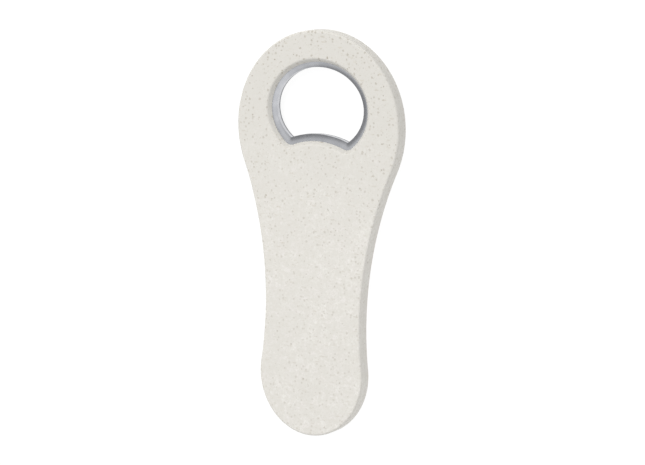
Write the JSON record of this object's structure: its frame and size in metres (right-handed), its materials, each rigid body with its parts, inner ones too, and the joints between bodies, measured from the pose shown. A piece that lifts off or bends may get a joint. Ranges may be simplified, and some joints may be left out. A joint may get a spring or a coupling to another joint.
{
  "type": "bottle opener",
  "caption": "Flat paddle-shaped bottle opener with a moulded body, an oval cap opening in its head and a steel plate that forms the lip.",
  "frame": {"origin": "middle of the flat back face, halfway along the length, at the object's base", "axes": "+Z out of the front face, +Y along the handle toward the head, +X across, with the opener lying on its back"},
  "size_m": [0.0532, 0.12, 0.005],
  "materials": {
    "front_shell": "matt moulded plastic with fine tan and brown straw flecks",
    "back_shell": "matt moulded plastic with fine tan and brown straw flecks",
    "steel_insert": "plain stamped steel with rounded edges"
  },
  "bodies": {
    "root": {"front_shell": "front_shell", "back_shell": "back_shell", "steel_insert": "steel_insert"}
  },
  "joints": []
}
